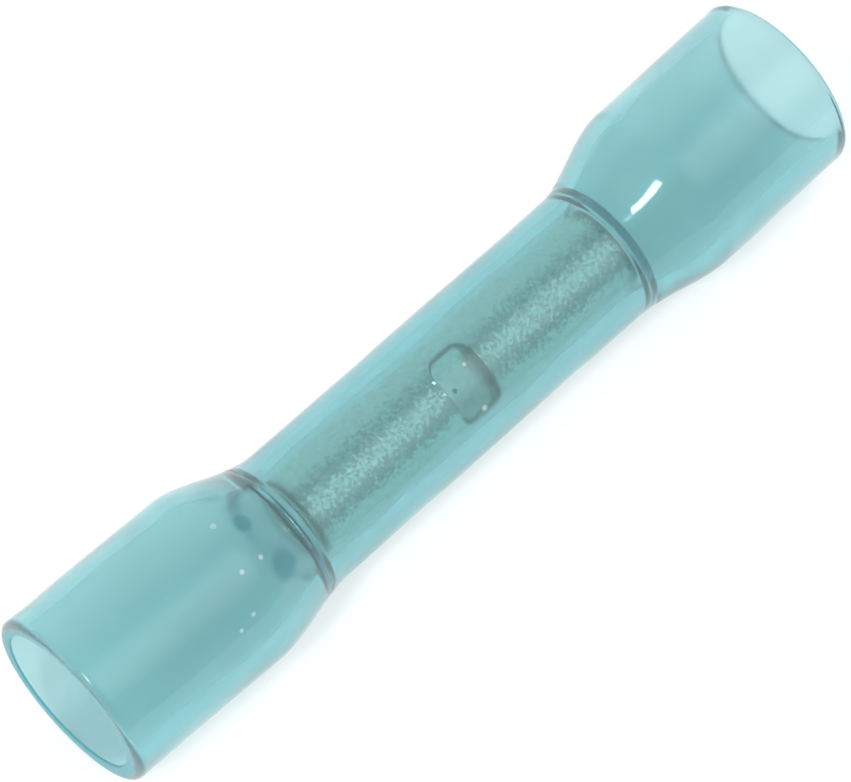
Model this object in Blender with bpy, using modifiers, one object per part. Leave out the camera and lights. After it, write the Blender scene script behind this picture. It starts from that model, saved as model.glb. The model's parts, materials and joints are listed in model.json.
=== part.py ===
"""Heat-shrink butt splice connector for joining two copper wires, in metres with +Z up.

A tinned copper crimp barrel with a punched wire stop sits in the neck of a one-piece insulating
sleeve. At each end a smooth shoulder widens the sleeve into a flare that guides the wire in.
The splice lies along X on its two flares, and z = 0 is the surface that it lies on.
"""

import math

import bmesh
import bpy
from mathutils import Matrix

MM = 0.001

# Crimp barrel. It lies a little to +X of the sleeve's mid length
BARREL_LENGTH = 16.2 * MM
BARREL_SHIFT = 0.52 * MM
BARREL_DIAMETER = 3.5 * MM
BARREL_WALL = 0.58 * MM
BARREL_OUTER_ROUND = 0.15 * MM
BARREL_INNER_ROUND = 0.10 * MM

# Wire stop, punched into the barrel at its mid length
STOP_LENGTH = 1.75 * MM
STOP_WIDTH = 2.55 * MM
STOP_DEPTH = 0.75 * MM
STOP_CORNER_ROUND = 0.50 * MM
STOP_FLOOR_ROUND = 0.14 * MM
STOP_METAL_LEFT = 0.35 * MM
STOP_TURN = math.radians(35.7)

# Sleeve neck, shrunk round the barrel, with a pinched crease past each end of the barrel
NECK_CLEARANCE = 0.30 * MM
NECK_WALL = 0.77 * MM
NEAR_CREASE_SETBACK = 0.65 * MM
FAR_CREASE_SETBACK = 0.25 * MM
CREASE_WIDTH = 0.50 * MM
CREASE_GROOVE = 0.05 * MM
CREASE_GRIP = 0.05 * MM

# Sleeve shoulders and flares. The near end is at -X. Each shoulder starts over the barrel's end
SLEEVE_LENGTH = 36.5 * MM
NEAR_SHOULDER_LENGTH = 4.25 * MM
NEAR_SHOULDER_OVERLAP = 0.53 * MM
FAR_SHOULDER_LENGTH = 3.80 * MM
FAR_SHOULDER_OVERLAP = 0.60 * MM
FLARE_DIAMETER = 7.4 * MM
FLARE_WALL = 0.68 * MM
RIM_OUTER_ROUND = 0.28 * MM
RIM_INNER_ROUND = 0.08 * MM

# Lie of the neck, the flares' inner ends and the bores, measured from the line through the middles of
# the mouths: shrinking is never even. The neck hangs low, which keeps the splice from rolling
NECK_DROP = 0.60 * MM
NECK_SHIFT = 0.20 * MM
FLARE_SHIFT = 0.17 * MM
BORE_RISE = 0.04 * MM
BORE_SHIFT = 0.07 * MM

# Facets
ROUND_STEPS = 48
CORNER_STEPS = 4
SHOULDER_STEPS = 8
CREASE_STEPS = 6

# Sizes that follow from those above
BARREL_RADIUS = BARREL_DIAMETER / 2
BARREL_BORE_RADIUS = BARREL_RADIUS - BARREL_WALL
BARREL_END = BARREL_LENGTH / 2
NECK_BORE_RADIUS = BARREL_RADIUS + NECK_CLEARANCE
NECK_RADIUS = NECK_BORE_RADIUS + NECK_WALL
FLARE_RADIUS = FLARE_DIAMETER / 2
FLARE_BORE_RADIUS = FLARE_RADIUS - FLARE_WALL
MOUTH = SLEEVE_LENGTH / 2
HALF_FACET = math.pi / ROUND_STEPS


def eased(share):
    """A smooth S from 0 to 1, level at both ends."""
    share = min(max(share, 0.0), 1.0)
    return share * share * (3 - 2 * share)


def barrel_reach(x):
    """How far the barrel's end on the side of x lies from the sleeve's mid length."""
    return BARREL_END + math.copysign(BARREL_SHIFT, x)


def crease_place(x):
    """How far the middle of the crease on the side of x lies from mid length."""
    return barrel_reach(x) + (NEAR_CREASE_SETBACK if x < 0 else FAR_CREASE_SETBACK)


def shoulder(x):
    """Where the shoulder on the side of x starts and ends, as distances from mid length."""
    if x < 0:
        start = barrel_reach(x) - NEAR_SHOULDER_OVERLAP
        return start, start + NEAR_SHOULDER_LENGTH
    start = barrel_reach(x) - FAR_SHOULDER_OVERLAP
    return start, start + FAR_SHOULDER_LENGTH


def shoulder_rise(x):
    """How far up its shoulder a section lies: 0 in the neck and 1 in the flare."""
    start, end = shoulder(x)
    return eased((abs(x) - start) / (end - start))


def pinch(x):
    """The crease's own form: a smooth hump, 1 at its middle and 0 past its width."""
    distance = abs(abs(x) - crease_place(x)) / (CREASE_WIDTH / 2)
    return math.cos(math.pi / 2 * min(distance, 1.0)) ** 2


def outer_radius(x):
    """The sleeve's outside: neck, shoulder and flare in one sweep, with a shallow groove at the crease."""
    sweep = NECK_RADIUS + (FLARE_RADIUS - NECK_RADIUS) * shoulder_rise(x)
    return sweep - CREASE_GROOVE * pinch(x)


def bore_sweep(x):
    """The sleeve's inside without its crease."""
    return NECK_BORE_RADIUS + (FLARE_BORE_RADIUS - NECK_BORE_RADIUS) * shoulder_rise(x)


def bore_radius(x):
    """The sleeve's inside: the crease closes in to just under the barrel's radius and keeps the barrel in."""
    reach = bore_sweep(math.copysign(crease_place(x), x)) - (BARREL_RADIUS - CREASE_GRIP)
    return bore_sweep(x) - reach * pinch(x)


def neck_share(x):
    """The part of the neck's drop and shift that a section has: all in the neck, none in the flare."""
    return 1 - shoulder_rise(x)


def flare_share(x):
    """The part of the flare's shift that a section has: all where the shoulder ends, none at the mouth."""
    shoulder_end = shoulder(x)[1]
    return shoulder_rise(x) * min(1.0, (MOUTH - abs(x)) / (MOUTH - shoulder_end))


def stations(*runs):
    """Places from runs of (start, end, steps), each place once."""
    places = [start + (end - start) * i / steps for start, end, steps in runs for i in range(steps)]
    return places + [runs[-1][1]]


def sleeve_places():
    """Where the sleeve's sections lie along X, from the end of one shoulder to the end of the other."""
    halves = []
    for side in (-1, 1):
        start, end = shoulder(side)
        crease = (crease_place(side) - CREASE_WIDTH / 2, crease_place(side) + CREASE_WIDTH / 2)
        before = max(1, round((crease[0] - start) / (end - start) * SHOULDER_STEPS))
        places = stations(
            (start, crease[0], before),
            (*crease, CREASE_STEPS),
            (crease[1], end, SHOULDER_STEPS),
        )
        halves.append([side * place for place in places])
    return halves[0][::-1] + halves[1]


def quarter_round(radius, x, size, inward, steps):
    """Points (radius, x) of a rounded edge at the end of a wall, from its side to its end face."""
    points = []
    for i in range(steps + 1):
        turn = math.pi / 2 * i / steps
        points.append((radius - inward * size * (1 - math.cos(turn)), x - size * (1 - math.sin(turn))))
    return points


def wall(radius_of, places, end, size, inward, steps):
    """One wall of a tube as points (radius, x) from its -X end to its +X end, with both edges rounded."""
    rounded = quarter_round(radius_of(end), end, size, inward, steps)
    return [(r, -x) for r, x in reversed(rounded)] + [(radius_of(x), x) for x in places] + rounded


def collection(name):
    """A new collection in the scene."""
    made = bpy.data.collections.new(name)
    bpy.context.scene.collection.children.link(made)
    return made


def add_object(name, mesh, holder):
    """An object for a mesh, in a collection."""
    made = bpy.data.objects.new(name, mesh)
    holder.objects.link(made)
    return made


def modifier(target, kind, name, **settings):
    """A modifier with its settings."""
    made = target.modifiers.new(name, kind)
    for key, value in settings.items():
        setattr(made, key, value)
    return made


def turned(name, loop, holder):
    """A body turned round its own Z axis from a closed section, with the middle of a facet at its local +X."""
    mesh = bpy.data.meshes.new(name)
    start = (math.cos(-HALF_FACET), math.sin(-HALF_FACET))
    points = [(radius * start[0], radius * start[1], along) for radius, along in loop]
    edges = [(i, (i + 1) % len(points)) for i in range(len(points))]
    mesh.from_pydata(points, edges, [])
    made = add_object(name, mesh, holder)
    modifier(
        made, "SCREW", "turn", axis="Z", angle=2 * math.pi, screw_offset=0.0,
        steps=ROUND_STEPS, render_steps=ROUND_STEPS, use_smooth_shade=True, merge_threshold=0.00001,
    )
    return made


def material(name, colour, **values):
    """A Principled material."""
    made = bpy.data.materials.new(name)
    made.use_nodes = True
    shader = made.node_tree.nodes["Principled BSDF"]
    shader.inputs["Base Color"].default_value = (*colour, 1.0)
    for key, value in values.items():
        shader.inputs[key.replace("_", " ")].default_value = value
    made.diffuse_color = (*colour, 1.0)
    return made


def insulating_sleeve(holder):
    """The one-piece clear blue sleeve: neck, two creases, two shoulders and two flares with rounded rims."""
    places = sleeve_places()
    outer = wall(outer_radius, places, MOUTH, RIM_OUTER_ROUND, 1, CORNER_STEPS)
    bore = wall(bore_radius, places, MOUTH, RIM_INNER_ROUND, -1, CORNER_STEPS // 2)
    loop = outer[::-1] + bore
    sleeve = turned("insulating_sleeve", loop, holder)
    lay_off_centre(sleeve, loop, bore_from=len(outer))
    sleeve.data.materials.append(
        material("clear_blue_sleeve", (0.28, 0.62, 0.68), Roughness=0.2, IOR=1.5, Transmission_Weight=0.85)
    )
    return sleeve


def lay_off_centre(sleeve, loop, bore_from):
    """Moves the neck off the line of the mouths, and the flares' bores off the middle of their walls.

    Each section keeps its own plane and its own round form, and only its centre moves.
    """
    neck = sleeve.vertex_groups.new(name="neck_offset")
    flare = sleeve.vertex_groups.new(name="flare_offset")
    bore = sleeve.vertex_groups.new(name="bore_offset")
    for index, (_, x) in enumerate(loop):
        neck.add([index], neck_share(x), "REPLACE")
        flare.add([index], flare_share(x), "REPLACE")
        if index >= bore_from:
            bore.add([index], shoulder_rise(x), "REPLACE")
    moves = (
        ("neck_drop", neck, "X", NECK_DROP),
        ("neck_shift", neck, "Y", -NECK_SHIFT),
        ("flare_shift", flare, "Y", -FLARE_SHIFT),
        ("bore_rise", bore, "X", -BORE_RISE),
        ("bore_shift", bore, "Y", BORE_SHIFT),
    )
    for name, group, direction, distance in moves:
        modifier(
            sleeve, "DISPLACE", name, direction=direction, mid_level=0.0, strength=distance,
            vertex_group=group.name,
        )


def crimp_barrel(holder, cutters):
    """The tinned copper tube with rounded ends and the wire stop punched into it at its mid length."""
    stop_side = STOP_LENGTH / 2 + STOP_METAL_LEFT + BARREL_WALL
    places = (-stop_side, stop_side)
    outer = wall(lambda x: BARREL_RADIUS, places, BARREL_END, BARREL_OUTER_ROUND, 1, CORNER_STEPS)
    bore = wall(
        lambda x: BARREL_BORE_RADIUS, places, BARREL_END, BARREL_INNER_ROUND, -1, CORNER_STEPS // 2
    )
    barrel = turned("crimp_barrel", outer[::-1] + bore, holder)
    bulge = stop_bulge(cutters)
    punch = stop_punch(cutters)
    modifier(barrel, "BOOLEAN", "bulge_in_bore", operation="UNION", solver="EXACT", object=bulge)
    modifier(barrel, "BOOLEAN", "punched_recess", operation="DIFFERENCE", solver="EXACT", object=punch)
    barrel.data.materials.append(
        material("tinned_copper", (0.72, 0.73, 0.71), Metallic=1.0, Roughness=0.35)
    )
    return barrel, (bulge, punch)


def rounded_block(name, sizes, corner, foot, holder):
    """A block centred on its own origin, its four upright edges rounded by corner and its lower edges by foot."""
    mesh = bpy.data.meshes.new(name)
    shape = bmesh.new()
    bmesh.ops.create_cube(shape, size=1.0, matrix=Matrix.Diagonal((*sizes, 1.0)))
    upright = [edge for edge in shape.edges if abs(edge.verts[0].co.z - edge.verts[1].co.z) > sizes[2] / 2]
    bmesh.ops.bevel(
        shape, geom=upright, offset=corner, segments=CORNER_STEPS, profile=0.5, affect="EDGES"
    )
    if foot:
        low = [edge for edge in shape.edges if all(v.co.z < 0 for v in edge.verts)]
        rim = [edge for edge in low if any(abs(face.normal.z) < 0.5 for face in edge.link_faces)]
        bmesh.ops.bevel(
            shape, geom=rim, offset=foot, segments=CORNER_STEPS // 2, profile=0.5, affect="EDGES"
        )
    shape.to_mesh(mesh)
    shape.free()
    made = add_object(name, mesh, holder)
    made.hide_render = True
    made.display_type = "WIRE"
    return made


def stop_punch(cutters):
    """The punch: its rounded nose stops at the recess's floor, and it reaches up out of the barrel."""
    floor = BARREL_RADIUS - STOP_DEPTH
    height = 2 * STOP_DEPTH
    punch = rounded_block(
        "stop_punch", (STOP_LENGTH, STOP_WIDTH, height), STOP_CORNER_ROUND, STOP_FLOOR_ROUND, cutters
    )
    punch.location.z = floor + height / 2
    return punch


def stop_bulge(cutters):
    """The metal that the punch pushes into the bore: what lies above a flat in a rod that ends inside the wall."""
    underside = BARREL_RADIUS - STOP_DEPTH - STOP_METAL_LEFT
    length = STOP_LENGTH + 2 * STOP_METAL_LEFT
    rod_radius = BARREL_RADIUS - BARREL_WALL / 2
    bulge = rounded_block(
        "stop_bulge", (length, BARREL_DIAMETER, BARREL_DIAMETER),
        STOP_CORNER_ROUND, STOP_FLOOR_ROUND, cutters,
    )
    bulge.location.z = underside + BARREL_DIAMETER / 2
    mesh = bpy.data.meshes.new("stop_rod")
    shape = bmesh.new()
    bmesh.ops.create_cone(
        shape, cap_ends=True, segments=ROUND_STEPS, radius1=rod_radius, radius2=rod_radius,
        depth=2 * length, matrix=Matrix.Rotation(math.pi / 2, 4, "Y"),
    )
    shape.to_mesh(mesh)
    shape.free()
    rod = add_object("stop_rod", mesh, cutters)
    rod.hide_render = True
    rod.display_type = "WIRE"
    modifier(bulge, "BOOLEAN", "inside_wall", operation="INTERSECT", solver="EXACT", object=rod)
    rod.parent = bulge
    rod.matrix_parent_inverse = Matrix.Translation((0, 0, -bulge.location.z))
    return bulge


def build():
    """The whole splice, lying on its flares along X."""
    for old in list(bpy.data.objects):
        bpy.data.objects.remove(old, do_unlink=True)
    parts = collection("butt_splice_connector")
    cutters = collection("cutters")
    lay_along_x = Matrix.Rotation(math.pi / 2, 4, "Y")
    flat_of_round = math.cos(HALF_FACET)
    mouth_height = max(
        outer_radius(x) * flat_of_round + NECK_DROP * neck_share(x) for x in sleeve_places()
    )

    mouths = add_object("line_of_mouths", None, parts)
    mouths.location = (0.0, FLARE_SHIFT / 2, mouth_height)
    sleeve = insulating_sleeve(parts)
    sleeve.parent = mouths
    sleeve.rotation_euler = lay_along_x.to_euler()

    barrel, tools = crimp_barrel(parts, cutters)
    neck_line = add_object("line_of_neck", None, parts)
    neck_line.parent = mouths
    neck_line.location = (BARREL_SHIFT, -NECK_SHIFT, -NECK_DROP)
    neck_line.rotation_euler.x = STOP_TURN
    barrel.parent = neck_line
    barrel.rotation_euler = lay_along_x.to_euler()
    for tool in tools:
        tool.parent = neck_line


build()
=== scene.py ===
"""Looks of the heat-shrink butt splice: clear blue sleeve, tinned crimp barrel, pale floor and soft light.

Every size is in metres, in the splice's own frame: X along the splice, +Z up from the surface that
it lies on. Each piece is one closed skin on a grid of points: rows follow the piece's section from one
end along its outside and back through its bore, and columns go round its axis.
"""

import json
import math

import bpy
import numpy as np
from bpy.props import FloatProperty, FloatVectorProperty, PointerProperty
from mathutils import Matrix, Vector


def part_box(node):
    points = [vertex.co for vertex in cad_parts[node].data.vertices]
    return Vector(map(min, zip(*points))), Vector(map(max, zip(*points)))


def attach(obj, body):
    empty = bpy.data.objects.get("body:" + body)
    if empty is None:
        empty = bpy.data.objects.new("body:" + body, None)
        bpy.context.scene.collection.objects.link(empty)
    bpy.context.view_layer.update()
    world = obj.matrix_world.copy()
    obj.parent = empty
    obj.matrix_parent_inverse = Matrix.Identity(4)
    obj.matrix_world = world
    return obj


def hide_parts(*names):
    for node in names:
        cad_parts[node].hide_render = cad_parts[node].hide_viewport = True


bl_info = {
    "name": "Butt splice connector",
    "version": (1, 0, 0),
    "blender": (4, 5, 0),
    "location": "3D View > Sidebar > Butt Splice",
    "description": "Models a heat-shrink butt splice connector and the stage that it lies on",
    "category": "Object",
}

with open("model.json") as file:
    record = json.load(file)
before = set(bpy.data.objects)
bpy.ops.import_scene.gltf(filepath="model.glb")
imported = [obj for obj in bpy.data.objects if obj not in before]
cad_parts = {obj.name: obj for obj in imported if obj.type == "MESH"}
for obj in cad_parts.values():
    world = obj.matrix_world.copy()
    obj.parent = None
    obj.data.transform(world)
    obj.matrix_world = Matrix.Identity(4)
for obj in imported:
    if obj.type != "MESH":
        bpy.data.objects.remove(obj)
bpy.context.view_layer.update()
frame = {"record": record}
SLEEVE_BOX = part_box("insulating_sleeve")
BARREL_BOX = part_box("crimp_barrel")
MOUTH_HEIGHT = frame["record"]["mounts"][0]["pos_m"][2]

MM = 0.001

# How finely the sleeve is cut: round it, along each rounded edge of a mouth, and from mid length to a
# crease, its groove and its narrow place, past them to the shoulder's end, and on to the mouth
SLEEVE_COLUMNS = 144
OUTER_ROUND_STEPS = 8
INNER_ROUND_STEPS = 4
NECK_STEPS = 36
PINCH_STEPS = 8
GROOVE_STEPS = 16
SHOULDER_STEPS = 36
FLARE_STEPS = 24

# How finely the barrel is cut: across the wire stop and round the rest, along its rounded edges, and along
# its outside and its bore, at the ends and in the middle
STOP_HALF_TURN = math.radians(58)
STOP_TURN_STEPS = 150
REST_TURN_STEPS = 80
BARREL_OUTER_ROUND_STEPS = 6
BARREL_INNER_ROUND_STEPS = 4
BARREL_END_STEPS = 24
BARREL_STOP_STEPS = 120
BORE_END_STEPS = 20
BORE_BULGE_STEPS = 60

# Forms of the barrel: how many lips past the recess's edge its raised metal is highest, how softly the
# bulge in the bore levels off, and the widths of the bell curves of painted shade at the ends and on the
# recess's walls
RIM_PLACE = 1.5
BULGE_SOFTNESS = 0.04 * MM
END_SHADE_WIDTH = 1.5
WALL_SHADE_WIDTH = 0.4

# The waves of the sleeve's skin: how many, how many lobes go round, their lengths along the sleeve, and how
# many of their heights the skin lies under its radius, so that no wave leaves the CAD model's box
WAVE_COUNT = 14
WAVE_LOBES = (1, 7)
WAVE_LENGTHS = (2.5 * MM, 11.0 * MM)
WAVE_ROOM = 1.6
OUTSIDE_SEED = 3
BORE_SEED = 4

# The spots and specks that the photo shows: their middle, their radius (both in mm) and their strength
# Painted shade: the first three dark spots darken the near shoulder where the barrel's dark end shows through
# it; the last is a real dark dot in the wall above the wire stop.
PAINTED_SHADE_AND_DOT = (
    ((-9.96, -0.36, 7.02), 0.45, 0.45),
    ((-9.77, -2.28, 6.15), 0.75, 0.45),
    ((-9.99, 1.47, 6.68), 0.60, 0.35),
    ((-0.37, -1.40, 5.59), 0.13, 1.0),
)
PALE_SPECKS = (
    ((-10.37, -1.70, 6.82), 0.13, 0.55),
    ((-11.31, -1.72, 7.00), 0.13, 0.55),
    ((-10.89, 0.18, 7.33), 0.17, 0.35),
    ((-11.87, -2.87, 6.09), 0.11, 0.45),
    ((-12.58, -2.99, 5.93), 0.11, 0.45),
    ((0.56, -0.92, 5.79), 0.11, 0.45),
    ((0.21, -2.36, 4.79), 0.15, 0.5),
)


# Settings that a user can change


def length(name, description, default):
    """A length property, in metres."""
    return FloatProperty(
        name=name, description=description, default=default, precision=6, subtype="DISTANCE", unit="LENGTH"
    )


def colour(name, description, default):
    """A colour property."""
    return FloatVectorProperty(
        name=name, description=description, default=default, size=3, min=0.0, max=1.0, subtype="COLOR"
    )


def share(name, description, default):
    """A share from 0 to 1."""
    return FloatProperty(
        name=name, description=description, default=default, min=0.0, max=1.0, subtype="FACTOR"
    )


def level(name, description, default):
    """A strength of light or of colour, from 0 up."""
    return FloatProperty(name=name, description=description, default=default, min=0.0)


def angle(name, description, degrees):
    """An angle, given in degrees."""
    return FloatProperty(
        name=name, description=description, default=math.radians(degrees), subtype="ANGLE", unit="ROTATION"
    )


class SleeveSettings(bpy.types.PropertyGroup):
    """Sizes and finish of the insulating sleeve."""

    half_length: length("Half length", "From mid length to a mouth", SLEEVE_BOX[1].x)
    flare_radius: length("Flare radius", "Outside of a flare", (SLEEVE_BOX[1].z - SLEEVE_BOX[0].z) / 2)
    flare_wall: length("Flare wall", "Thickness of a flare's wall", 0.68 * MM)
    neck_radius: length("Neck radius", "Outside of the neck", 2.82 * MM)
    neck_wall: length("Neck wall", "Thickness of the neck's wall", 0.77 * MM)
    near_shoulder_start: length("Near shoulder start", "Where the -X shoulder leaves the neck", 7.05 * MM)
    near_shoulder_length: length("Near shoulder length", "Length of the -X shoulder", 4.25 * MM)
    far_shoulder_start: length("Far shoulder start", "Where the +X shoulder leaves the neck", 8.02 * MM)
    far_shoulder_length: length("Far shoulder length", "Length of the +X shoulder", 3.80 * MM)
    near_crease_place: length("Near crease place", "From mid length to the -X crease", 8.23 * MM)
    far_crease_place: length("Far crease place", "From mid length to the +X crease", 8.70 * MM)
    near_crease_width: length("Near crease width", "Width of the -X crease's groove", 0.20 * MM)
    far_crease_width: length("Far crease width", "Width of the +X crease's groove", 0.36 * MM)
    crease_groove: length("Crease groove", "Depth of a crease in the outside", 0.04 * MM)
    crease_fade: angle("Crease fade", "Turn from +Y to +Z where the creases fade out", 110)
    pinch_width: length("Pinch width", "Width of the bore's narrow place inside a crease", 0.70 * MM)
    pinch_bore: length("Pinch bore", "Radius that the bore narrows to inside a crease", 2.00 * MM)
    rim_outer_round: length("Rim outer round", "Rounding of a mouth's outer edge", 0.28 * MM)
    rim_inner_round: length("Rim inner round", "Rounding of a mouth's inner edge", 0.08 * MM)
    neck_drop: length("Neck drop", "How far the neck hangs below the line of the mouths", 0.60 * MM)
    neck_shift: length("Neck shift", "How far the neck lies to -Y of the line of the mouths", 0.20 * MM)
    flare_shift: length("Flare shift", "How far a flare's inner end lies to -Y", 0.17 * MM)
    bore_rise: length("Bore rise", "How far a flare's bore lies above its outside", 0.04 * MM)
    bore_shift: length("Bore shift", "How far a flare's bore lies to +Y of its outside", 0.07 * MM)
    waviness: length("Waviness", "Height of the soft waves that shrinking leaves", 0.012 * MM)
    tint: colour("Tint", "Colour that the plastic lets through", (0.06, 0.69, 0.78))
    tint_density: FloatProperty(
        name="Tint density", description="Strength of the tint per metre of plastic", default=526.0, min=0.0
    )
    milk: colour("Milk", "Colour of the milky share of the outside", (0.58, 0.92, 0.92))
    lining: colour("Lining", "Colour of the milky share of the bore", (0.94, 0.94, 0.93))
    flare_clearness: share("Flare clearness", "Share of light that a flare's face doesn't scatter", 0.85)
    neck_clearness: share("Neck clearness", "Share of light that the neck's face doesn't scatter", 0.82)
    sheen: share("Sheen", "Strength of the pale haze that shows at grazing angles", 0.30)
    sheen_roughness: share("Sheen roughness", "How far the haze spreads from the edges", 0.4)
    gloss_roughness: share("Gloss roughness", "Roughness of the drawn outside", 0.07)
    bore_roughness: share("Bore roughness", "Roughness of the hazy bore", 0.17)
    # The spots' colour: painted shade on the near shoulder, and the colour of one real dark dot.
    spots: colour("Spots", "Colour of the dark spots on the skin", (0.05, 0.36, 0.42))
    speck_height: length("Speck height", "How far the small pale specks stand out", 0.015 * MM)
    cut: colour("Cut", "Colour of the matte faces that the cut leaves", (0.12, 0.50, 0.58))
    cut_clearness: share("Cut clearness", "Share of light that a cut face doesn't scatter", 0.2)


class BarrelSettings(bpy.types.PropertyGroup):
    """Sizes and finish of the crimp barrel."""

    half_length: length("Half length", "From its middle to an end", (BARREL_BOX[1].x - BARREL_BOX[0].x) / 2)
    shift: length("Shift", "How far it lies to +X of mid length", (BARREL_BOX[1].x + BARREL_BOX[0].x) / 2)
    radius: length("Radius", "Outside of the barrel", 1.75 * MM)
    wall: length("Wall", "Thickness of the barrel's wall", 0.58 * MM)
    outer_round: length("Outer round", "Rounding of an end's outer edge", 0.15 * MM)
    inner_round: length("Inner round", "Rounding of an end's inner edge", 0.10 * MM)
    stop_length: length("Stop length", "Size of the wire stop's recess along the barrel", 1.75 * MM)
    stop_width: length("Stop width", "Size of the recess across the barrel", 2.55 * MM)
    stop_depth: length("Stop depth", "Depth of the recess under the barrel's top line", 0.75 * MM)
    stop_corner: length("Stop corner", "Rounding of the recess's corners", 0.50 * MM)
    stop_lip: length("Stop lip", "Width of the metal drawn down round the recess", 0.07 * MM)
    stop_foot: length("Stop foot", "Width of the curve from the recess's wall to its floor", 0.13 * MM)
    metal_left: length("Metal left", "Metal between the recess and the bulge in the bore", 0.35 * MM)
    stop_turn: angle("Stop turn", "Turn of the wire stop from +Z towards -Y", 35.7)
    stop_rim: length("Stop rim", "Height of the metal raised round the recess", 0.06 * MM)
    stop_shade: share("Stop shade", "How dark the walls of the recess are", 0.90)
    metal: colour("Metal", "Colour of the tinned metal", (0.98, 0.98, 0.88))
    dull_metal: colour("Dull metal", "Colour of the tin's duller grains", (0.76, 0.76, 0.68))
    # Painted shade: the colour of the painted shadow at the ends and of the painted shade on the recess's
    # walls.
    painted_shade: colour("Painted shade", "Colour of the metal at the ends and the recess's wall", (0.08, 0.10, 0.09))
    grain_size: length("Grain size", "Size of the tin's grains", 0.085 * MM)
    grain_tilt: share("Grain tilt", "How far single grains lean out of the surface", 0.42)


class StageSettings(bpy.types.PropertyGroup):
    """Floor, light and camera."""

    floor_radius: length("Floor radius", "Size of the round floor", 1.6)
    floor_colour: colour("Floor colour", "Colour of the plain floor", (0.87, 0.875, 0.875))
    floor_glow: level("Floor glow", "Strength of the light that the floor sends up, like a light table", 0.52)
    zenith: level("Zenith", "Strength of the light from straight above", 0.42)
    horizon: level("Horizon", "Strength of the light from the horizon", 0.48)
    fill: level("Fill", "Strength that the fill adds to the sky round its direction", 1.20)
    fill_azimuth: angle("Fill azimuth", "Turn of the fill round the splice: 0 lights along +Y", 40)
    fill_elevation: angle("Fill elevation", "Angle of the fill above the floor", 54)
    fill_spread: angle("Fill spread", "Angle from the fill's middle to where it fades out", 28)
    side: level("Side light", "Strength that the light into the near mouth adds to the sky", 0.40)
    side_azimuth: angle("Side azimuth", "Turn of the side light round the splice: 0 lights along +Y", -95)
    side_elevation: angle("Side elevation", "Angle of the side light above the floor", 22)
    side_spread: angle("Side spread", "Angle from the side light's middle to where it fades out", 45)
    back: level("Back light", "Strength that the back light adds to the sky round its direction", 0.64)
    back_azimuth: angle("Back azimuth", "Turn of the back light round the splice: 0 lights along +Y", 155)
    back_elevation: angle("Back elevation", "Angle of the back light above the floor", 30)
    back_spread: angle("Back spread", "Angle from the back light's middle to where it fades out", 46)
    key_power: level("Key power", "Power of the key light in watts", 0.14)
    key_azimuth: angle("Key azimuth", "Turn of the key light round the splice: 0 lights along +Y", -74)
    key_elevation: angle("Key elevation", "Angle of the key light above the floor", 52)
    key_distance: length("Key distance", "From the splice to the key light", 250 * MM)
    key_width: length("Key width", "Width of the key light", 36 * MM)
    key_height: length("Key height", "Height of the key light", 70 * MM)
    camera_distance: length("Camera distance", "From the camera to the point that it aims at", 200 * MM)
    camera_lens: FloatProperty(
        name="Camera lens", description="Focal length in mm on a 36 mm sensor", default=231.1, min=1.0
    )
    camera_azimuth: angle("Camera azimuth", "Turn of the camera round the splice: 0 looks along +Y", -44.75)
    camera_elevation: angle("Camera elevation", "Angle of the camera above the floor", 62.53)
    camera_aim: FloatVectorProperty(
        name="Camera aim", description="The point that the camera aims at",
        default=(-0.365 * MM, 0.127 * MM, 3.50 * MM), size=3, precision=6, subtype="XYZ", unit="LENGTH",
    )


class SpliceSettings(bpy.types.PropertyGroup):
    """All settings of the splice and its stage."""

    sleeve: PointerProperty(type=SleeveSettings)
    barrel: PointerProperty(type=BarrelSettings)
    stage: PointerProperty(type=StageSettings)


# Surfaces


def eased(share):
    """A smooth S from 0 to 1, level at both ends: three times the square less twice the cube."""
    share = np.clip(share, 0.0, 1.0)
    return share * share * (3 - 2 * share)


def runs(*pieces):
    """Places from runs of (start, end, steps), each place once."""
    spans = [np.linspace(start, end, steps, endpoint=False) for start, end, steps in pieces]
    return np.concatenate(spans + [[pieces[-1][1]]])


def rounded_end(radius, x, size, inward, steps):
    """A quarter circle from a wall's side to its end face: columns of place and radius.

    The place falls short of x by the size less the size times the sine of the turn, and the radius
    moves towards the wall's middle by the size less the size times its cosine.
    """
    turn = np.linspace(0, math.pi / 2, steps + 1)
    places = x - size * (1 - np.sin(turn))
    radii = radius - inward * size * (1 - np.cos(turn))
    return np.column_stack((places, radii))


def wall_line(radius_of, places, end, size, inward, steps):
    """A wall's line from its -X end to its +X end, both edges rounded: columns of place and radius."""
    far = rounded_end(radius_of(end), end, size, inward, steps)
    near = rounded_end(radius_of(-end), end, size, inward, steps)[::-1] * (-1, 1)
    middle = np.column_stack((places, radius_of(places)))
    return np.concatenate((near, middle, far))


def skin(name, points):
    """A mesh object for a grid of points that closes on itself along its rows and its columns.

    Each face joins a point to the next in its row, and both to their followers in the next row, which
    points outwards when the rows run along +X outside and the columns turn from +Y to +Z.
    """
    rows, columns = points.shape[:2]
    index = np.arange(rows * columns).reshape(rows, columns)
    beside = np.roll(index, -1, axis=1)
    corners = np.stack((index, beside, np.roll(beside, -1, axis=0), np.roll(index, -1, axis=0)), axis=-1)
    mesh = bpy.data.meshes.new(name)
    mesh.vertices.add(rows * columns)
    mesh.vertices.foreach_set("co", points.astype(np.float32).ravel())
    mesh.loops.add(corners.size)
    mesh.loops.foreach_set("vertex_index", corners.astype(np.int32).ravel())
    mesh.polygons.add(corners.size // 4)
    mesh.polygons.foreach_set("loop_start", np.arange(0, corners.size, 4, dtype=np.int32))
    mesh.update(calc_edges=True)
    mesh.validate()
    mesh.shade_smooth()
    return mesh


def mark_points(mesh, name, values):
    """Keeps a value for each point of a skin, as an attribute that the materials can read."""
    held = mesh.attributes.new(name, "FLOAT", "POINT")
    held.data.foreach_set("value", values.astype(np.float32).ravel())


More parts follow.
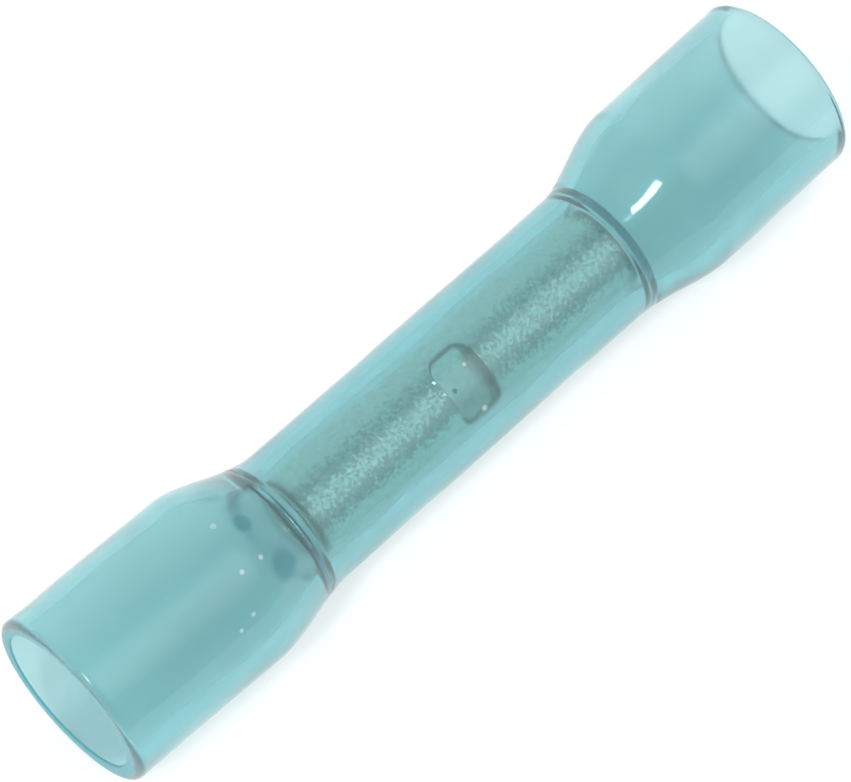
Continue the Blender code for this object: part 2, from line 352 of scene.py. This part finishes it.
def add_piece(name, mesh, materials, node):
    """Puts a finished piece in the scene, riding on the body, in the place of its CAD node."""
    old = bpy.data.objects.get(name)
    if old is not None:
        bpy.data.objects.remove(old, do_unlink=True)
    piece = bpy.data.objects.new(name, mesh)
    bpy.context.scene.collection.objects.link(piece)
    for material in materials:
        mesh.materials.append(material)
    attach(piece, "root")
    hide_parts(node)


# Sleeve


def shoulder_rise(x, sizes):
    """How far up its shoulder a section lies: an eased S of its distance past the shoulder's start."""
    start = np.where(x < 0, sizes.near_shoulder_start, sizes.far_shoulder_start)
    span = np.where(x < 0, sizes.near_shoulder_length, sizes.far_shoulder_length)
    return eased((np.abs(x) - start) / span)


def crease_place(x, sizes):
    """How far the crease on the side of x lies from mid length."""
    return np.where(x < 0, sizes.near_crease_place, sizes.far_crease_place)


def hump(x, width, sizes):
    """A ring at each crease: the squared cosine of the distance from its middle, over its width."""
    distance = np.abs(np.abs(x) - crease_place(x, sizes)) / (width / 2)
    return np.cos(math.pi / 2 * np.minimum(distance, 1.0)) ** 2


def outer_radius(x, sizes):
    """Neck radius plus the rise to the flare."""
    return sizes.neck_radius + (sizes.flare_radius - sizes.neck_radius) * shoulder_rise(x, sizes)


def crease_depth(x, turn, sizes):
    """The creases' shallow grooves in the outside, as a grid: deep at the sides and faded out at one turn.

    It is the groove's depth times the hump, times the squared sine of the angle from the faded turn.
    """
    width = np.where(x < 0, sizes.near_crease_width, sizes.far_crease_width)
    return sizes.crease_groove * hump(x, width, sizes)[:, None] * np.sin(turn - sizes.crease_fade) ** 2


def bore_radius(x, sizes):
    """Neck bore plus the rise to the flare's bore, drawn in to the pinched bore at the creases."""
    neck_bore = sizes.neck_radius - sizes.neck_wall
    rise = sizes.flare_radius - sizes.flare_wall - neck_bore

    def sweep(place):
        return neck_bore + rise * shoulder_rise(place, sizes)

    reach = sweep(np.copysign(crease_place(x, sizes), x)) - sizes.pinch_bore
    return sweep(x) - reach * hump(x, sizes.pinch_width, sizes)


def section_centres(x, sizes):
    """Y and Z of the middle of each section's outside.

    The neck's drop and shift fade with the shoulder's rise. The flare's shift grows with that rise and
    then fades evenly to nothing at the mouth.
    """
    rise = shoulder_rise(x, sizes)
    near_end = sizes.near_shoulder_start + sizes.near_shoulder_length
    far_end = sizes.far_shoulder_start + sizes.far_shoulder_length
    shoulder_end = np.where(x < 0, near_end, far_end)
    fade = np.clip((sizes.half_length - np.abs(x)) / (sizes.half_length - shoulder_end), 0.0, 1.0)
    y = sizes.flare_shift / 2 - sizes.neck_shift * (1 - rise) - sizes.flare_shift * rise * fade
    z = MOUTH_HEIGHT - sizes.neck_drop * (1 - rise)
    return y, z


def soft_waves(x, turn, height, seed):
    """Waves over a tube's skin: a sum of cosines of the turn times cosines of the place, as a grid."""
    chance = np.random.default_rng(seed)
    lobes = chance.integers(*WAVE_LOBES, WAVE_COUNT)[:, None]
    waves = 2 * math.pi / chance.uniform(*WAVE_LENGTHS, WAVE_COUNT)[:, None]
    starts = chance.uniform(0, 2 * math.pi, (2, WAVE_COUNT, 1))
    along = np.cos(waves * x + starts[0])
    round_it = np.cos(lobes * turn + starts[1])
    return height * np.einsum("ki,kj->ij", along, round_it) / math.sqrt(WAVE_COUNT)


def sleeve_places(sizes):
    """Places from mouth to mouth, closest together at the creases."""
    mouth = sizes.half_length - 1.5 * sizes.rim_outer_round
    halves = []
    near_end = sizes.near_shoulder_start + sizes.near_shoulder_length
    far_end = sizes.far_shoulder_start + sizes.far_shoulder_length
    for crease, groove, shoulder_end in (
        (sizes.near_crease_place, sizes.near_crease_width, near_end),
        (sizes.far_crease_place, sizes.far_crease_width, far_end),
    ):
        groove_start, groove_end = crease - groove / 2, crease + groove / 2
        pinch_start, pinch_end = crease - sizes.pinch_width / 2, crease + sizes.pinch_width / 2
        halves.append(runs(
            (0, pinch_start, NECK_STEPS),
            (pinch_start, groove_start, PINCH_STEPS),
            (groove_start, groove_end, GROOVE_STEPS),
            (groove_end, pinch_end, PINCH_STEPS),
            (pinch_end, shoulder_end, SHOULDER_STEPS),
            (shoulder_end, mouth, FLARE_STEPS),
        ))
    return np.concatenate((-halves[0][:0:-1], halves[1]))


def sleeve_lines(sizes):
    """The sleeve's section: the line of its outside from -X to +X, then that of its bore back again."""
    places = sleeve_places(sizes)
    end = sizes.half_length
    outer = wall_line(
        lambda x: outer_radius(x, sizes), places, end, sizes.rim_outer_round, 1, OUTER_ROUND_STEPS
    )
    bore = wall_line(
        lambda x: bore_radius(x, sizes), places, end, sizes.rim_inner_round, -1, INNER_ROUND_STEPS
    )
    return outer, bore[::-1]


def sleeve_points(sizes, lines):
    """The sleeve's skin: circles whose radius and middle follow the place along the sleeve.

    The soft waves are added to the radius, and their room and the crease's depth are taken from it. The
    waves fade out in the last millimetre before a mouth. The bore's circles are moved by the bore's rise
    and shift, in step with the shoulder's rise.
    """
    turn = np.arange(SLEEVE_COLUMNS) * 2 * math.pi / SLEEVE_COLUMNS
    walls = []
    for line, is_bore, seed in zip(lines, (0, 1), (OUTSIDE_SEED, BORE_SEED)):
        x, radius = line.T
        y, z = section_centres(x, sizes)
        rise = shoulder_rise(x, sizes) * is_bore
        still = eased((sizes.half_length - np.abs(x)) / MM)[:, None]
        waves = soft_waves(x, turn, sizes.waviness, seed) * still
        radius = radius[:, None] - WAVE_ROOM * sizes.waviness * still + waves
        radius = radius - crease_depth(x, turn, sizes) * (1 - is_bore)
        walls.append(np.stack((
            np.repeat(x[:, None], SLEEVE_COLUMNS, axis=1),
            (y + sizes.bore_shift * rise)[:, None] + radius * np.cos(turn),
            (z + sizes.bore_rise * rise)[:, None] + radius * np.sin(turn),
        ), axis=-1))
    return np.concatenate(walls)


def sleeve_haze(lines):
    """How hazy each row is: 0 outside, where the sleeve is clear, and 1 in the bore."""
    outer, bore = lines
    return np.concatenate((np.zeros(len(outer)), np.ones(len(bore))))


def sleeve_finishes(sizes, lines):
    """The finish of each row of faces: 0 on the flares, 1 on the neck between the creases, and 2 on the
    faces that the cut leaves at each mouth, with the bore's rounded edge."""
    rows = np.arange(sum(len(line) for line in lines))
    far = len(lines[0]) - 1
    far_cut = (rows >= far) & (rows <= far + INNER_ROUND_STEPS)
    near_cut = rows >= len(rows) - 1 - INNER_ROUND_STEPS
    places = np.concatenate(lines)[:, 0]
    neck = np.abs(places) < crease_place(places, sizes)
    return np.where(far_cut | near_cut, 2, np.where(neck, 1, 0))


# Barrel


def rounded_rectangle(x, y, length_x, length_y, corner):
    """Distance from a point to a rounded rectangle's edge, below zero inside.

    It is the distance to a rectangle shrunk by the corner's radius, less that radius.
    """
    dx = np.abs(x) - (length_x / 2 - corner)
    dy = np.abs(y) - (length_y / 2 - corner)
    outside = np.hypot(np.maximum(dx, 0), np.maximum(dy, 0))
    return outside + np.minimum(np.maximum(dx, dy), 0) - corner


def barrel_turns():
    """Angles round the barrel from the wire stop's middle, close together across the stop.

    They fall from point to point, so that the columns turn from +Y to +Z.
    """
    edge = STOP_HALF_TURN
    return runs((-edge, edge, STOP_TURN_STEPS), (edge, 2 * math.pi - edge, REST_TURN_STEPS))[:0:-1]


def barrel_points(sizes):
    """The barrel's skin, with its wire stop pressed in along one line from its middle.

    A point outside is pulled down from the round to the recess's flat floor by an eased S of its
    distance to the recess's edge, and raised a little round that edge by a bell curve of the same
    distance. A point in the bore is pulled down to the bulge's flat underside.
    """
    fine = sizes.stop_length / 2 + 2 * sizes.stop_lip
    bulge_end = sizes.stop_length / 2 + sizes.metal_left
    rest = sizes.half_length - 2 * sizes.outer_round
    outer_places = runs(
        (-rest, -fine, BARREL_END_STEPS), (-fine, fine, BARREL_STOP_STEPS), (fine, rest, BARREL_END_STEPS)
    )
    bulge_edge = bulge_end + sizes.metal_left
    bore_places = runs(
        (-rest, -bulge_edge, BORE_END_STEPS),
        (-bulge_edge, bulge_edge, BORE_BULGE_STEPS),
        (bulge_edge, rest, BORE_END_STEPS),
    )
    bore = sizes.radius - sizes.wall
    turn = barrel_turns()

    def flat_line(radius, places, size, inward, steps):
        return wall_line(lambda x: radius + 0 * x, places, sizes.half_length, size, inward, steps)

    outer_line = flat_line(sizes.radius, outer_places, sizes.outer_round, 1, BARREL_OUTER_ROUND_STEPS)
    bore_line = flat_line(bore, bore_places, sizes.inner_round, -1, BARREL_INNER_ROUND_STEPS)[::-1]
    floor = sizes.radius - sizes.stop_depth
    underside = floor - sizes.metal_left

    x, radius = outer_line[:, :1], outer_line[:, 1:]
    across, height = radius * np.sin(turn), radius * np.cos(turn)
    gap = rounded_rectangle(x, across, sizes.stop_length, sizes.stop_width, sizes.stop_corner)
    pressed = eased((sizes.stop_lip - gap) / (sizes.stop_lip + sizes.stop_foot)) * (height > 0)
    raised = sizes.stop_rim * np.exp(-((gap / sizes.stop_lip - RIM_PLACE) ** 2)) * (height > 0)
    outside = np.stack((x + 0 * across, across, height + raised + (floor - height) * pressed), axis=-1)

    x, radius = bore_line[:, :1], bore_line[:, 1:]
    across, height = radius * np.sin(turn), radius * np.cos(turn)
    pushed = eased((bulge_end + sizes.stop_foot - np.abs(x)) / (2 * sizes.stop_foot))
    spare = height - underside
    lowered = underside + (spare - np.sqrt(spare * spare + BULGE_SOFTNESS * BULGE_SOFTNESS)) / 2
    inside = np.stack((x + 0 * across, across, height + (lowered - height) * pushed), axis=-1)
    return np.concatenate((outside, inside))


def barrel_shade(points, sizes):
    """How much painted shade the metal has at each point: a painted shadow at the cut ends, and painted
    shade on the walls of the wire stop.

    At an end it is a bell curve of the distance to the outer edge. On the stop's walls it is the stop's
    shade setting times a bell curve of the distance from the recess's edge.
    """
    x, across, height = np.moveaxis(points, -1, 0)
    past_edge = np.hypot(sizes.half_length - np.abs(x), sizes.radius - np.hypot(across, height))
    end = np.exp(-((past_edge / (END_SHADE_WIDTH * sizes.outer_round)) ** 2))
    gap = rounded_rectangle(x, across, sizes.stop_length, sizes.stop_width, sizes.stop_corner)
    wall_width = WALL_SHADE_WIDTH * (sizes.stop_lip + sizes.stop_foot)
    wall = sizes.stop_shade * np.exp(-((gap / wall_width) ** 2)) * (height > 0)
    return np.maximum(end, wall)


def barrel_smoothness(points, sizes):
    """How smooth the metal is at each point: an eased S from the wire stop's edge down to its floor."""
    x, across, height = np.moveaxis(points, -1, 0)
    gap = rounded_rectangle(x, across, sizes.stop_length, sizes.stop_width, sizes.stop_corner)
    return eased((sizes.stop_lip - gap) / (sizes.stop_lip + sizes.stop_foot)) * (height > 0)


def lay_barrel(points, sizes, sleeve):
    """Turns the barrel's points about its axis by the stop's turn, and lays them in the sleeve's neck."""
    y, z = section_centres(np.zeros(1), sleeve)
    across, height = points[..., 1], points[..., 2]
    sine, cosine = math.sin(sizes.stop_turn), math.cos(sizes.stop_turn)
    return np.stack((
        sizes.shift + points[..., 0],
        y[0] + across * cosine - height * sine,
        z[0] + across * sine + height * cosine,
    ), axis=-1)


# Finishes


PLASTIC_IOR = 1.49
SPOT_CORE = 0.6
SPECK_CLEARNESS = 0.1
WHITE = (1.0, 1.0, 1.0)

# The drawn plastic: size and height of its lines along the sleeve, how much they are drawn out, size and
# height of its swells, and size and range of the unevenness of its roughness
LINE_SIZE = 0.45 * MM
LINE_HEIGHT = 0.003 * MM
LINE_STRETCH = (0.05, 1, 1)
SWELL_SIZE = 1.4 * MM
SWELL_HEIGHT = 0.006 * MM
UNEVEN_SIZE = 1.2 * MM
UNEVEN_RANGE = (0.75, 1.25)

# The cut plastic: size and height of the blade's marks, how much they are drawn out, and its roughness
MARK_SIZE = 0.12 * MM
MARK_HEIGHT = 0.01 * MM
MARK_STRETCH = (1, 1, 0.2)
CUT_ROUGHNESS = (0.35, 0.6)

# The tin: size of its patches in grains, their share in its brightness, its roughness, and how much its
# grains still lean on the smooth floor of the wire stop
PATCH_GRAINS = 20
PATCH_SHARE = 0.3
TIN_ROUGHNESS = (0.16, 0.26)
FLOOR_TILT = 0.2

FLOOR_ROUGHNESS = 0.7


def new_material(name):
    """A material with a Principled shader: (material, node tree, shader)."""
    old = bpy.data.materials.get(name)
    if old is not None:
        bpy.data.materials.remove(old)
    made = bpy.data.materials.new(name)
    made.use_nodes = True
    return made, made.node_tree, made.node_tree.nodes["Principled BSDF"]


def add_node(tree, kind, inputs=None, **settings):
    """A node with its settings and its inputs, which are values or other nodes' outputs."""
    node = tree.nodes.new(kind)
    for key, value in settings.items():
        setattr(node, key, value)
    for key, value in (inputs or {}).items():
        if isinstance(value, bpy.types.NodeSocket):
            tree.links.new(value, node.inputs[key])
        else:
            node.inputs[key].default_value = value
    return node


def grain(tree, place, size, detail=2.0, stretch=(1, 1, 1)):
    """Noise whose grains are of a given size in metres, stretched along the axes."""
    mapped = add_node(tree, "ShaderNodeMapping", {"Vector": place, "Scale": stretch})
    return add_node(
        tree, "ShaderNodeTexNoise", {"Vector": mapped.outputs["Vector"], "Scale": 1 / size, "Detail": detail}
    ).outputs["Fac"]


def ranged(tree, value, low, high, start=0.3, end=0.7):
    """A value from start to end carried over to low to high."""
    return add_node(
        tree, "ShaderNodeMapRange",
        {"Value": value, "From Min": start, "From Max": end, "To Min": low, "To Max": high},
    ).outputs["Result"]


def bumped(tree, height, distance, under=None):
    """A bump of a height over another bump."""
    inputs = {"Height": height, "Distance": distance}
    if under is not None:
        inputs["Normal"] = under
    return add_node(tree, "ShaderNodeBump", inputs).outputs["Normal"]


def blended(tree, share_of, low, high):
    """A colour between two, by a share. Each of them is a colour or another node's output."""
    mixed = add_node(tree, "ShaderNodeMix", {"Factor": share_of}, data_type="RGBA")
    for socket, value in (("A", low), ("B", high)):
        sockets = [held for held in mixed.inputs if held.name == socket and held.type == "RGBA"]
        if isinstance(value, bpy.types.NodeSocket):
            tree.links.new(value, sockets[0])
        else:
            sockets[0].default_value = (*value, 1.0)
    return next(held for held in mixed.outputs if held.type == "RGBA")


def spotted(tree, place, spots):
    """How strongly a point lies in one of the spots: the spot's strength in its core, and 0 from its
    radius on."""
    strongest = 0.0
    for middle, radius, strength in spots:
        point = [part * MM for part in middle]
        away = add_node(tree, "ShaderNodeVectorMath", {0: place, 1: point}, operation="DISTANCE")
        edge = radius * MM
        near = ranged(tree, away.outputs["Value"], strength, 0.0, start=SPOT_CORE * edge, end=edge)
        both = add_node(tree, "ShaderNodeMath", {0: near, 1: strongest}, operation="MAXIMUM")
        strongest = both.outputs["Value"]
    return strongest


def plastic(name, sizes, milk, clearness):
    """Tinted plastic: (material, node tree, shader). Its colour is in its depth, and its milky share lies
    on its faces."""
    made, tree, shader = new_material(name)
    shader.inputs["Base Color"].default_value = (*milk, 1.0)
    shader.inputs["Transmission Weight"].default_value = clearness
    shader.inputs["IOR"].default_value = PLASTIC_IOR
    shader.inputs["Sheen Weight"].default_value = sizes.sheen
    shader.inputs["Sheen Roughness"].default_value = sizes.sheen_roughness
    depth = add_node(
        tree, "ShaderNodeVolumeAbsorption", {"Color": (*sizes.tint, 1.0), "Density": sizes.tint_density}
    )
    tree.links.new(depth.outputs["Volume"], tree.nodes["Material Output"].inputs["Volume"])
    return made, tree, shader


def drawn_plastic(name, sizes, clearness):
    """The sleeve's drawn skin: glossy outside and hazy in the bore, with faint lines along it, and with
    the listed dark spots, three of them painted shade on the near shoulder and one a real dark dot, and the
    listed pale specks."""
    made, tree, shader = plastic(name, sizes, sizes.milk, clearness)
    place = add_node(tree, "ShaderNodeTexCoord").outputs["Object"]
    hazy = add_node(tree, "ShaderNodeAttribute", attribute_name="haze").outputs["Fac"]
    faces = blended(tree, hazy, sizes.milk, sizes.lining)
    specks = spotted(tree, place, PALE_SPECKS)
    faces = blended(tree, specks, faces, WHITE)
    # Painted shade on the near shoulder, and one real dark dot, in the spots' colour.
    faces = blended(tree, spotted(tree, place, PAINTED_SHADE_AND_DOT), faces, sizes.spots)
    tree.links.new(faces, shader.inputs["Base Color"])
    clear = ranged(tree, specks, clearness, SPECK_CLEARNESS, start=0.0, end=1.0)
    tree.links.new(clear, shader.inputs["Transmission Weight"])
    level_of = ranged(tree, hazy, sizes.gloss_roughness, sizes.bore_roughness, start=0.0, end=1.0)
    uneven = ranged(tree, grain(tree, place, UNEVEN_SIZE, detail=4.0), *UNEVEN_RANGE)
    roughness = add_node(tree, "ShaderNodeMath", {0: level_of, 1: uneven}, operation="MULTIPLY")
    tree.links.new(roughness.outputs["Value"], shader.inputs["Roughness"])
    lines = grain(tree, place, LINE_SIZE, stretch=LINE_STRETCH)
    lined = bumped(tree, lines, LINE_HEIGHT)
    swells = grain(tree, place, SWELL_SIZE, detail=1.0)
    swelled = bumped(tree, swells, SWELL_HEIGHT, under=lined)
    tree.links.new(bumped(tree, specks, sizes.speck_height, under=swelled), shader.inputs["Normal"])
    return made


def cut_plastic(sizes):
    """The matte faces that the blade leaves at the mouths, with its fine marks."""
    made, tree, shader = plastic("cut_blue_sleeve", sizes, sizes.cut, sizes.cut_clearness)
    place = add_node(tree, "ShaderNodeTexCoord").outputs["Object"]
    marks = grain(tree, place, MARK_SIZE, detail=3.0, stretch=MARK_STRETCH)
    tree.links.new(ranged(tree, marks, *CUT_ROUGHNESS), shader.inputs["Roughness"])
    tree.links.new(bumped(tree, marks, MARK_HEIGHT), shader.inputs["Normal"])
    return made


def leaning(tree, chance, tilt):
    """A normal that leans by chance: the surface's own, plus a random colour about its middle grey."""
    about_zero = add_node(tree, "ShaderNodeVectorMath", {0: chance, 1: (0.5, 0.5, 0.5)}, operation="SUBTRACT")
    lean = add_node(
        tree, "ShaderNodeVectorMath", {0: about_zero.outputs["Vector"], "Scale": tilt}, operation="SCALE"
    )
    upright = add_node(tree, "ShaderNodeNewGeometry").outputs["Normal"]
    both = add_node(tree, "ShaderNodeVectorMath", {0: upright, 1: lean.outputs["Vector"]}, operation="ADD")
    return add_node(
        tree, "ShaderNodeVectorMath", {0: both.outputs["Vector"]}, operation="NORMALIZE"
    ).outputs["Vector"]


def tinned_metal(sizes):
    """Hot-tinned copper: fine flat grains, each leaning its own way, so that some of them sparkle, with
    soft uneven patches, a painted shadow at the cut ends and painted shade on the walls of the wire stop."""
    made, tree, shader = new_material("tinned_copper")
    place = add_node(tree, "ShaderNodeTexCoord").outputs["Object"]
    grains = add_node(tree, "ShaderNodeTexVoronoi", {"Vector": place, "Scale": 1 / sizes.grain_size})
    chance = grains.outputs["Color"]
    bright = add_node(tree, "ShaderNodeSeparateXYZ", {"Vector": chance}).outputs["X"]
    patches = grain(tree, place, PATCH_GRAINS * sizes.grain_size)
    patch_part = ranged(tree, patches, 0.0, PATCH_SHARE)
    grain_part = ranged(tree, bright, 0.0, 1 - PATCH_SHARE, start=0.0, end=1.0)
    weighted = add_node(
        tree, "ShaderNodeMath", {0: patch_part, 1: grain_part}, operation="ADD"
    ).outputs["Value"]
    tin = blended(tree, weighted, sizes.dull_metal, sizes.metal)
    # Painted shade: the shade attribute darkens the tin, a painted shadow at the ends and painted shade on
    # the recess's walls.
    shade = add_node(tree, "ShaderNodeAttribute", attribute_name="shade").outputs["Fac"]
    tree.links.new(blended(tree, shade, tin, sizes.painted_shade), shader.inputs["Base Color"])
    shader.inputs["Metallic"].default_value = 1.0
    tree.links.new(ranged(tree, patches, *TIN_ROUGHNESS), shader.inputs["Roughness"])
    smooth = add_node(tree, "ShaderNodeAttribute", attribute_name="smoothness").outputs["Fac"]
    tilt = ranged(tree, smooth, sizes.grain_tilt, FLOOR_TILT * sizes.grain_tilt, start=0.0, end=1.0)
    tree.links.new(leaning(tree, chance, tilt), shader.inputs["Normal"])
    return made


# Stage


def floor_disc(radius, rings=3, columns=96):
    """A flat disc: points at even turns on circles of growing radius, and one in the middle."""
    turn = np.arange(columns) * 2 * math.pi / columns
    radii = radius * np.arange(1, rings + 1)[:, None] / rings
    circles = np.stack((radii * np.cos(turn), radii * np.sin(turn), 0 * radii * turn), axis=-1)
    points = np.concatenate((circles.reshape(-1, 3), [[0, 0, 0]]))
    index = np.arange(rings * columns).reshape(rings, columns)
    beside = np.roll(index, -1, axis=1)
    rim = np.stack((index[:-1], index[1:], beside[1:], beside[:-1]), axis=-1).reshape(-1, 4)
    middle = np.stack((index[0], beside[0], np.full(columns, len(points) - 1)), axis=-1)
    mesh = bpy.data.meshes.new("floor")
    mesh.from_pydata(points.tolist(), [], rim.tolist() + middle.tolist())
    return mesh


def towards(azimuth, elevation):
    """The direction from the splice to a place at an azimuth and an elevation."""
    flat = math.cos(elevation)
    return Vector((math.sin(azimuth) * flat, -math.cos(azimuth) * flat, math.sin(elevation)))


def softbox(name, direction, distance, size, power):
    """An area light that faces the splice."""
    data = bpy.data.lights.new(name, "AREA")
    data.shape = "RECTANGLE"
    data.size, data.size_y = size
    data.energy = power
    made = bpy.data.objects.new(name, data)
    bpy.context.scene.collection.objects.link(made)
    made.location = direction * distance
    made.rotation_euler = direction.to_track_quat("Z", "Y").to_euler()


def lobe(tree, way, azimuth, elevation, spread, strength):
    """A soft light in the sky: its strength times an eased S of the cosine of the angle from its middle."""
    nearness = add_node(
        tree, "ShaderNodeVectorMath", {0: way, 1: towards(azimuth, elevation)}, operation="DOT_PRODUCT"
    ).outputs["Value"]
    return add_node(
        tree, "ShaderNodeMapRange", {"Value": nearness, "From Min": math.cos(spread), "To Max": strength},
        interpolation_type="SMOOTHSTEP",
    ).outputs["Result"]


def studio_sky(stage):
    """Light from all round: an eased S of the height from the horizon's level to the zenith's, with
    soft lights from the front, from the side of the near mouth and from behind added."""
    world = bpy.data.worlds.new("studio_sky")
    world.use_nodes = True
    tree = world.node_tree
    way = add_node(tree, "ShaderNodeTexCoord").outputs["Generated"]
    height = add_node(tree, "ShaderNodeSeparateXYZ", {"Vector": way}).outputs["Z"]
    total = add_node(
        tree, "ShaderNodeMapRange", {"Value": height, "To Min": stage.horizon, "To Max": stage.zenith},
        interpolation_type="SMOOTHSTEP",
    ).outputs["Result"]
    for light in (
        lobe(tree, way, stage.fill_azimuth, stage.fill_elevation, stage.fill_spread, stage.fill),
        lobe(tree, way, stage.side_azimuth, stage.side_elevation, stage.side_spread, stage.side),
        lobe(tree, way, stage.back_azimuth, stage.back_elevation, stage.back_spread, stage.back),
    ):
        total = add_node(tree, "ShaderNodeMath", {0: total, 1: light}, operation="ADD").outputs["Value"]
    tree.links.new(total, tree.nodes["Background"].inputs["Strength"])
    tree.nodes["Background"].inputs["Color"].default_value = (1.0, 1.0, 1.0, 1.0)
    return world


class SPLICE_OT_sleeve(bpy.types.Operator):
    """Makes the clear blue insulating sleeve"""

    bl_idname = "splice.sleeve"
    bl_label = "Insulating sleeve"

    def execute(self, context):
        sizes = context.scene.splice.sleeve
        lines = sleeve_lines(sizes)
        mesh = skin("insulating_sleeve_skin", sleeve_points(sizes, lines))
        mark_points(mesh, "haze", np.repeat(sleeve_haze(lines), SLEEVE_COLUMNS))
        finish_of_face = np.repeat(sleeve_finishes(sizes, lines), SLEEVE_COLUMNS)
        mesh.polygons.foreach_set("material_index", finish_of_face.astype(np.int32))
        finishes = (
            drawn_plastic("clear_blue_flare", sizes, sizes.flare_clearness),
            drawn_plastic("clear_blue_neck", sizes, sizes.neck_clearness),
            cut_plastic(sizes),
        )
        add_piece("sleeve_skin", mesh, finishes, "insulating_sleeve")
        return {"FINISHED"}


class SPLICE_OT_barrel(bpy.types.Operator):
    """Makes the tinned crimp barrel with its pressed wire stop"""

    bl_idname = "splice.barrel"
    bl_label = "Crimp barrel"

    def execute(self, context):
        settings = context.scene.splice
        points = barrel_points(settings.barrel)
        mesh = skin("crimp_barrel_skin", lay_barrel(points, settings.barrel, settings.sleeve))
        # Painted shade for the material: a painted shadow at the ends and painted shade on the recess's
        # walls.
        mark_points(mesh, "shade", barrel_shade(points, settings.barrel))
        mark_points(mesh, "smoothness", barrel_smoothness(points, settings.barrel))
        add_piece("barrel_skin", mesh, (tinned_metal(settings.barrel),), "crimp_barrel")
        return {"FINISHED"}


class SPLICE_OT_stage(bpy.types.Operator):
    """Makes the plain floor, the soft light and the camera"""

    bl_idname = "splice.stage"
    bl_label = "Stage"

    def execute(self, context):
        stage = context.scene.splice.stage
        scene = context.scene
        scene.view_settings.view_transform = "Standard"

        floor = bpy.data.objects.new("floor", floor_disc(stage.floor_radius))
        scene.collection.objects.link(floor)
        paint, _, shader = new_material("plain_floor")
        shader.inputs["Base Color"].default_value = (*stage.floor_colour, 1.0)
        shader.inputs["Roughness"].default_value = FLOOR_ROUGHNESS
        shader.inputs["Emission Color"].default_value = (*stage.floor_colour, 1.0)
        shader.inputs["Emission Strength"].default_value = stage.floor_glow
        floor.data.materials.append(paint)

        scene.world = studio_sky(stage)
        softbox(
            "key_light", towards(stage.key_azimuth, stage.key_elevation), stage.key_distance,
            (stage.key_width, stage.key_height), stage.key_power,
        )

        data = bpy.data.cameras.new("camera")
        data.lens = stage.camera_lens
        data.clip_start, data.clip_end = 0.01, 10.0
        camera = bpy.data.objects.new("camera", data)
        scene.collection.objects.link(camera)
        back = towards(stage.camera_azimuth, stage.camera_elevation)
        camera.location = Vector(stage.camera_aim) + back * stage.camera_distance
        camera.rotation_euler = back.to_track_quat("Z", "Y").to_euler()
        scene.camera = camera
        return {"FINISHED"}


class SPLICE_PT_panel(bpy.types.Panel):
    """Settings and steps of the splice"""

    bl_idname = "SPLICE_PT_panel"
    bl_label = "Butt splice connector"
    bl_space_type = "VIEW_3D"
    bl_region_type = "UI"
    bl_category = "Butt Splice"

    def draw(self, context):
        settings = context.scene.splice
        for group, operator in (
            (settings.sleeve, SPLICE_OT_sleeve),
            (settings.barrel, SPLICE_OT_barrel),
            (settings.stage, SPLICE_OT_stage),
        ):
            box = self.layout.box()
            for key in group.__annotations__:
                box.prop(group, key)
            box.operator(operator.bl_idname)


CLASSES = (
    SleeveSettings, BarrelSettings, StageSettings, SpliceSettings,
    SPLICE_OT_sleeve, SPLICE_OT_barrel, SPLICE_OT_stage, SPLICE_PT_panel,
)


def register():
    """Adds the classes and the scene's settings."""
    for kind in CLASSES:
        bpy.utils.register_class(kind)
    bpy.types.Scene.splice = PointerProperty(type=SpliceSettings)


def unregister():
    """Takes the settings and the classes away again."""
    del bpy.types.Scene.splice
    for kind in reversed(CLASSES):
        bpy.utils.unregister_class(kind)


def main():
    """Builds the whole scene."""
    register()
    bpy.ops.splice.stage()
    bpy.ops.splice.barrel()
    bpy.ops.splice.sleeve()


if __name__ == "__main__":
    main()
